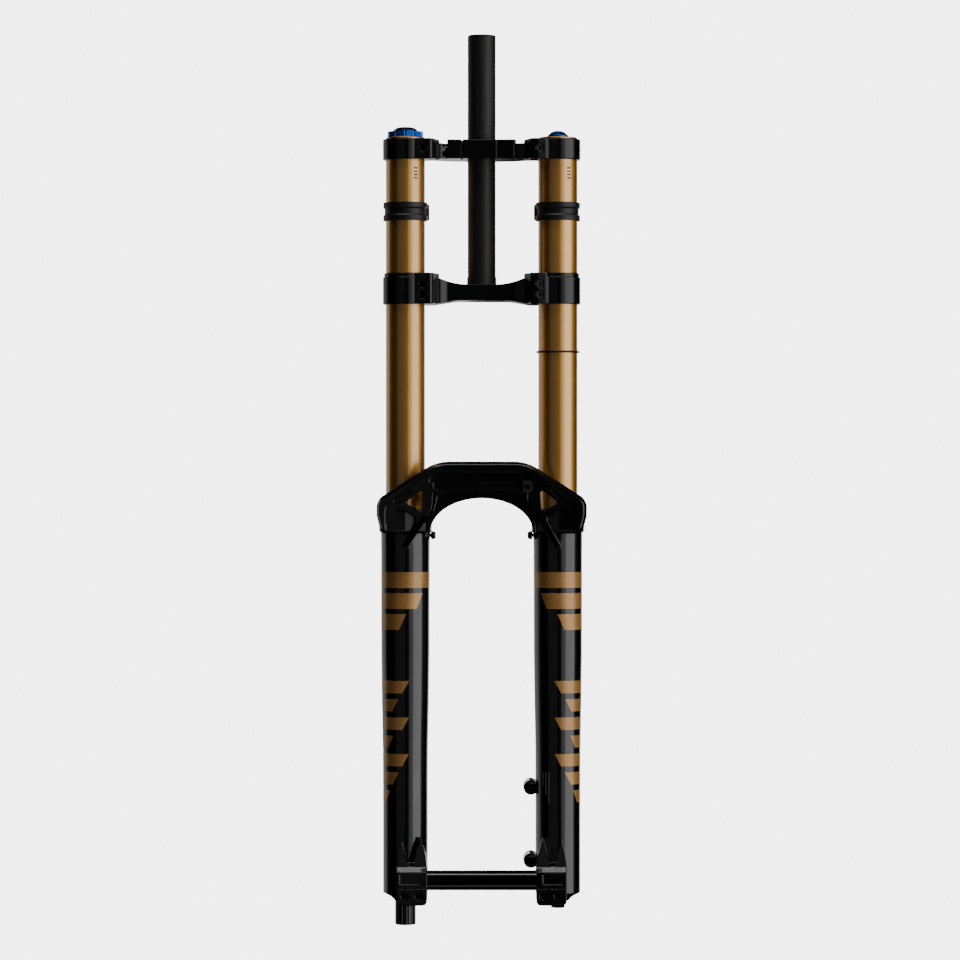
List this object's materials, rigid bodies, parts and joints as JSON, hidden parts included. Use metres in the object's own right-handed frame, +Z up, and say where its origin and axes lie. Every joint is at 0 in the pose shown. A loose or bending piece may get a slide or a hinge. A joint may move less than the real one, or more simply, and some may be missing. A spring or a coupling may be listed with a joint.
{
  "type": "suspension fork",
  "caption": "Dual-crown downhill bicycle suspension fork: sliding lower legs with an arch, through-axle, knobs, valve cap and bleeders.",
  "frame": {"origin": "centre of the crown race seat on the steerer's axis, at the lower crown's top", "axes": "+Z up the steerer, -Y the way the bicycle rides, +X the rider's left"},
  "size_m": [0.212, 0.0923, 0.9058],
  "materials": {
    "bronze_anodised": "glossy anodised",
    "black_anodised": "satin anodised",
    "gloss_black_paint": "gloss lacquer over cast light alloy",
    "blue_anodised": "glossy anodised",
    "black_rubber": "matte",
    "black_bolt_steel": "black oxide",
    "bare_steel": "bright",
    "shaft_chrome": "hard chrome",
    "bushing_liner": "sintered liner",
    "valve_brass": "machined",
    "plain_aluminium": "machined",
    "spacer_plastic": "moulded",
    "black_plastic": "moulded",
    "oiled_foam": "open-cell foam"
  },
  "bodies": {
    "uppers": {"air_seal_head": "plain_aluminium", "air_stanchion": "bronze_anodised", "air_top_cap": "bronze_anodised", "air_valve": "valve_brass", "compression_valve": "plain_aluminium", "damper_cartridge_tube": "plain_aluminium", "damper_seal_head": "plain_aluminium", "damper_stanchion": "bronze_anodised", "damper_top_cap": "bronze_anodised", "frame_bumper_left": "black_rubber", "frame_bumper_right": "black_rubber", "lower_crown": "black_anodised", "lower_crown_pinch_bolts": "black_bolt_steel", "retaining_rings": "bare_steel", "steerer_pinch_bolts": "black_bolt_steel", "steerer_tube": "black_anodised", "top_out_bumper": "black_rubber", "upper_crown": "black_anodised", "upper_crown_pinch_bolts": "black_bolt_steel", "volume_spacers": "spacer_plastic"},
    "lowers": {"lower_casting": "gloss_black_paint", "upper_bushings": "bushing_liner", "lower_bushings": "bushing_liner", "foam_rings": "oiled_foam", "wiper_seal_left": "black_rubber", "wiper_seal_right": "black_rubber", "wiper_garter_spring_left": "bare_steel", "wiper_garter_spring_right": "bare_steel", "damper_shaft": "shaft_chrome", "damper_piston": "plain_aluminium", "air_shaft": "shaft_chrome", "air_piston": "plain_aluminium", "air_piston_seal": "black_rubber", "piston_nuts": "bare_steel", "bottom_out_bumper": "black_rubber", "hose_guide": "black_plastic", "hose_guide_screw": "black_bolt_steel", "axle_pinch_bolts": "black_bolt_steel", "crush_washers": "plain_aluminium", "damper_foot_nut": "bare_steel", "air_foot_nut": "black_bolt_steel"},
    "high_speed_knob": {"high_speed_compression_ring": "blue_anodised"},
    "low_speed_knob": {"low_speed_compression_dome": "black_anodised"},
    "valve_cap": {"air_valve_cap": "blue_anodised"},
    "o_ring": {"travel_o_ring": "black_rubber"},
    "wheel_axle": {"axle": "black_anodised"},
    "left_bleeder": {"air_bleeder_left": "black_anodised"},
    "right_bleeder": {"air_bleeder_right": "black_anodised"},
    "rebound_shell": {"rebound_cover": "black_anodised"},
    "high_speed_rebound": {"high_speed_rebound_knob": "blue_anodised"},
    "low_speed_rebound": {"low_speed_rebound_knob": "blue_anodised"}
  },
  "joints": [
    {"name": "fork_travel", "type": "slide", "parent": "uppers", "child": "lowers", "axis": [0, 0, 1], "range_m": [0, 0.203], "stiffness_N_per_m": 6000, "springref_m": -0.012},
    {"name": "o_ring_slide", "type": "slide", "parent": "uppers", "child": "o_ring", "axis": [0, 0, 1], "range_m": [0, 0.0445]},
    {"name": "high_speed_compression", "type": "hinge", "parent": "uppers", "child": "high_speed_knob", "pos_m": [-0.0775, -0.019, 0.152], "axis": [0, 0, 1], "range_deg": [0, 240]},
    {"name": "low_speed_compression", "type": "hinge", "parent": "uppers", "child": "low_speed_knob", "pos_m": [-0.0775, -0.019, 0.157], "axis": [0, 0, 1], "range_deg": [0, 360]},
    {"name": "valve_cap_lift", "type": "slide", "parent": "uppers", "child": "valve_cap", "axis": [0, 0, 1], "range_m": [0, 0.015]},
    {"name": "axle_pull", "type": "slide", "parent": "lowers", "child": "wheel_axle", "axis": [-1, 0, 0], "range_m": [0, 0.172]},
    {"name": "left_bleeder_press", "type": "slide", "parent": "lowers", "child": "left_bleeder", "axis": [1, 0, 0], "range_m": [0, 0.0012], "stiffness_N_per_m": 700},
    {"name": "right_bleeder_press", "type": "slide", "parent": "lowers", "child": "right_bleeder", "axis": [-1, 0, 0], "range_m": [0, 0.0012], "stiffness_N_per_m": 700},
    {"name": "rebound_cover_pull", "type": "slide", "parent": "lowers", "child": "rebound_shell", "axis": [0, 0, -1], "range_m": [0, 0.03]},
    {"name": "high_speed_rebound_turn", "type": "hinge", "parent": "lowers", "child": "high_speed_rebound", "pos_m": [-0.0775, -0.019, -0.637], "axis": [0, 0, 1], "range_deg": [0, 240]},
    {"name": "low_speed_rebound_turn", "type": "hinge", "parent": "lowers", "child": "low_speed_rebound", "pos_m": [-0.0775, -0.019, -0.644], "axis": [0, 0, 1], "range_deg": [0, 360]}
  ],
  "couplings": [
    {"joint": "o_ring_slide", "follows": "fork_travel", "ratio": 0.219}
  ]
}
